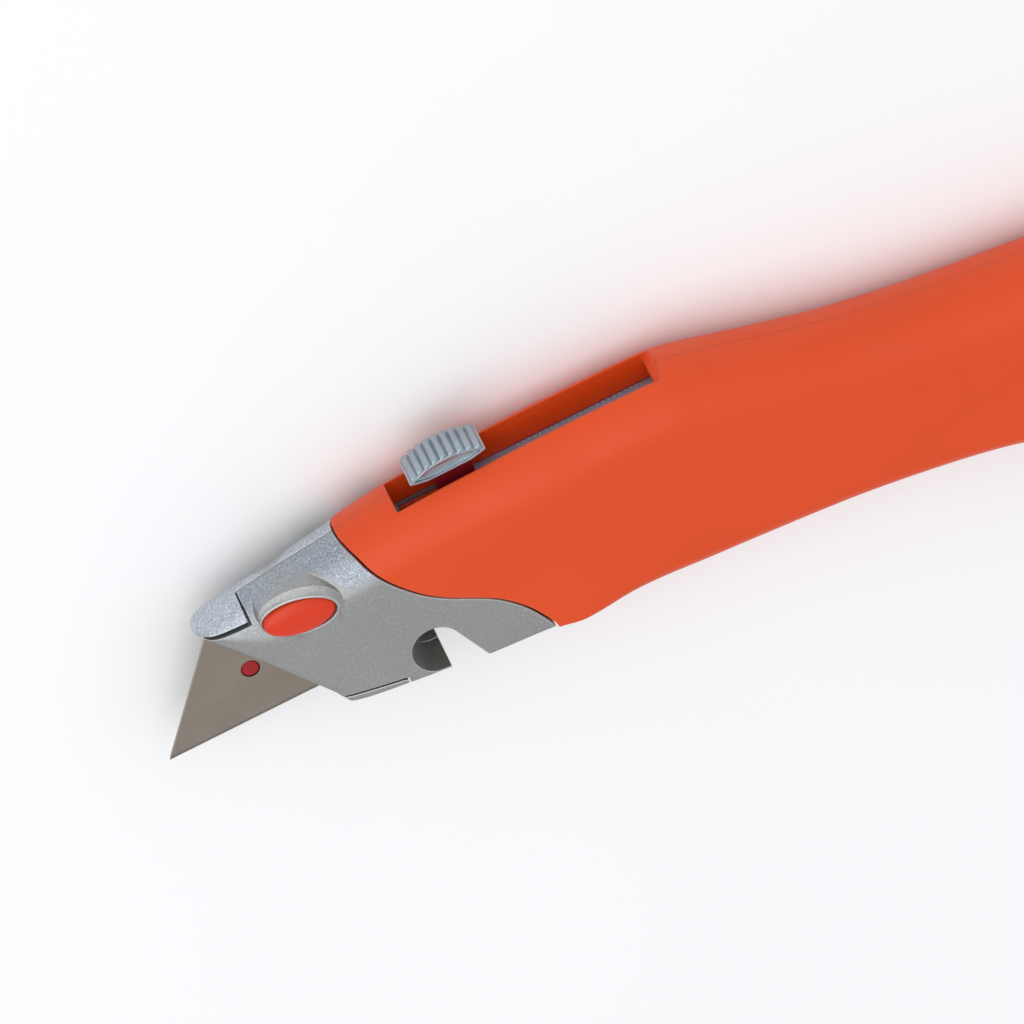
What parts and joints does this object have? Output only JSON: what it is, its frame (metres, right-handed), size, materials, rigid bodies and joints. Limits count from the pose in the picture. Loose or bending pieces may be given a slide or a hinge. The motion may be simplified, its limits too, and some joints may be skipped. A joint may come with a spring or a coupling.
{
  "type": "utility knife",
  "caption": "Retractable utility knife: moulded handle shells, cast metal nose with a string notch, ribbed thumb slider, oval release button and a blade magazine in the tail.",
  "frame": {"origin": "middle of the flat right side that the knife lies on, on the face", "axes": "+X from the blade towards the tail, +Y towards the spine and thumb slider, +Z out of the left side, which carries the release button"},
  "size_m": [0.1741, 0.0532, 0.018],
  "materials": {
    "handle_plastic": "fine moulded grain, orange",
    "nose_metal": "sparkling metallic satin",
    "spring_steel": "rolled strip",
    "screw_steel": "dark plated",
    "plated_steel": "bright plated",
    "button_plastic": "satin red-orange",
    "carrier_plastic": "moulded red",
    "tray_plastic": "moulded black",
    "blade_steel": "ground steel with a darker bevel"
  },
  "bodies": {
    "body": {"handle_left": "handle_plastic", "handle_right": "handle_plastic", "nose_left": "nose_metal", "nose_right": "nose_metal", "slide_track": "spring_steel", "handle_screws": "screw_steel", "nose_screw": "screw_steel", "nose_dowel": "screw_steel", "lanyard_eyelet": "plated_steel", "blade_guide": "spring_steel", "button_retainer": "spring_steel", "release_spring": "spring_steel"},
    "release_button": {"release_button": "button_plastic", "button_pin": "screw_steel"},
    "carrier": {"blade_carrier": "carrier_plastic", "blade": "blade_steel", "blade_clip": "spring_steel", "thumb_spring": "spring_steel"},
    "thumb_button": {"thumb_cap": "plated_steel", "thumb_stem": "carrier_plastic", "latch_pin": "screw_steel"},
    "magazine": {"magazine_tray": "tray_plastic", "spare_blades": "blade_steel", "blade_keeper": "spring_steel", "tail_cap": "handle_plastic", "cap_pins": "screw_steel"}
  },
  "joints": [
    {"name": "blade_slide", "type": "slide", "parent": "body", "child": "carrier", "axis": [1, 0, 0], "range_m": [0, 0.029]},
    {"name": "thumb_press", "type": "slide", "parent": "carrier", "child": "thumb_button", "axis": [0, -1, 0], "range_m": [0, 0.001], "stiffness_N_per_m": 500, "springref_m": -0.002, "deforming": ["thumb_spring"]},
    {"name": "release_press", "type": "slide", "parent": "body", "child": "release_button", "axis": [0, 0, -1], "range_m": [0, 0.0015], "stiffness_N_per_m": 500, "springref_m": -0.002, "deforming": ["release_spring"]},
    {"name": "magazine_slide", "type": "slide", "parent": "body", "child": "magazine", "axis": [0.9848, -0.1736, 0], "range_m": [0, 0.06]}
  ]
}
